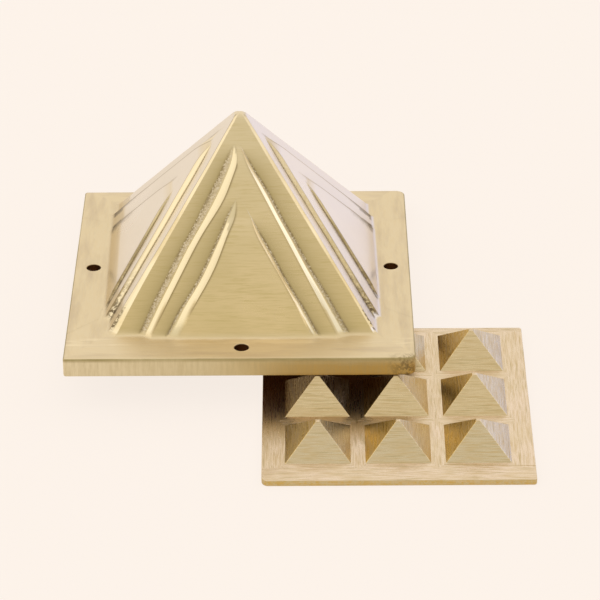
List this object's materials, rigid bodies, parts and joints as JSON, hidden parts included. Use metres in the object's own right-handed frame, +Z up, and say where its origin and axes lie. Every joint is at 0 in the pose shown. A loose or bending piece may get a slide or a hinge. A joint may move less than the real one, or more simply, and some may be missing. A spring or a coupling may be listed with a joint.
{
  "type": "vastu pyramid set",
  "caption": "Hollow cast brass pyramid cover on a square screw-down flange, with the flat plate of small pyramids that it goes over; the cover leans on the plate.",
  "frame": {"origin": "on the ground under the middle of the set's bounding box", "axes": "+Z up, +Y from the plate towards the cover's back edge, along the longest side of the set, +X to the right as seen from the plate's front"},
  "size_m": [0.0992, 0.108, 0.046],
  "materials": {
    "cast_brass": "cast brass, filed and brushed to a satin shine, pebbled as cast beside the raised steps",
    "brushed_brass": "brushed brass with fine straight grain along each small face"
  },
  "bodies": {
    "plate": {"nine_pyramid_plate": "brushed_brass"},
    "cover": {"pyramid_cover": "cast_brass"}
  },
  "joints": [
    {"name": "cover_lift", "type": "slide", "parent": "plate", "child": "cover", "axis": [0, 0, 1], "range_m": [0, 0.06]}
  ]
}
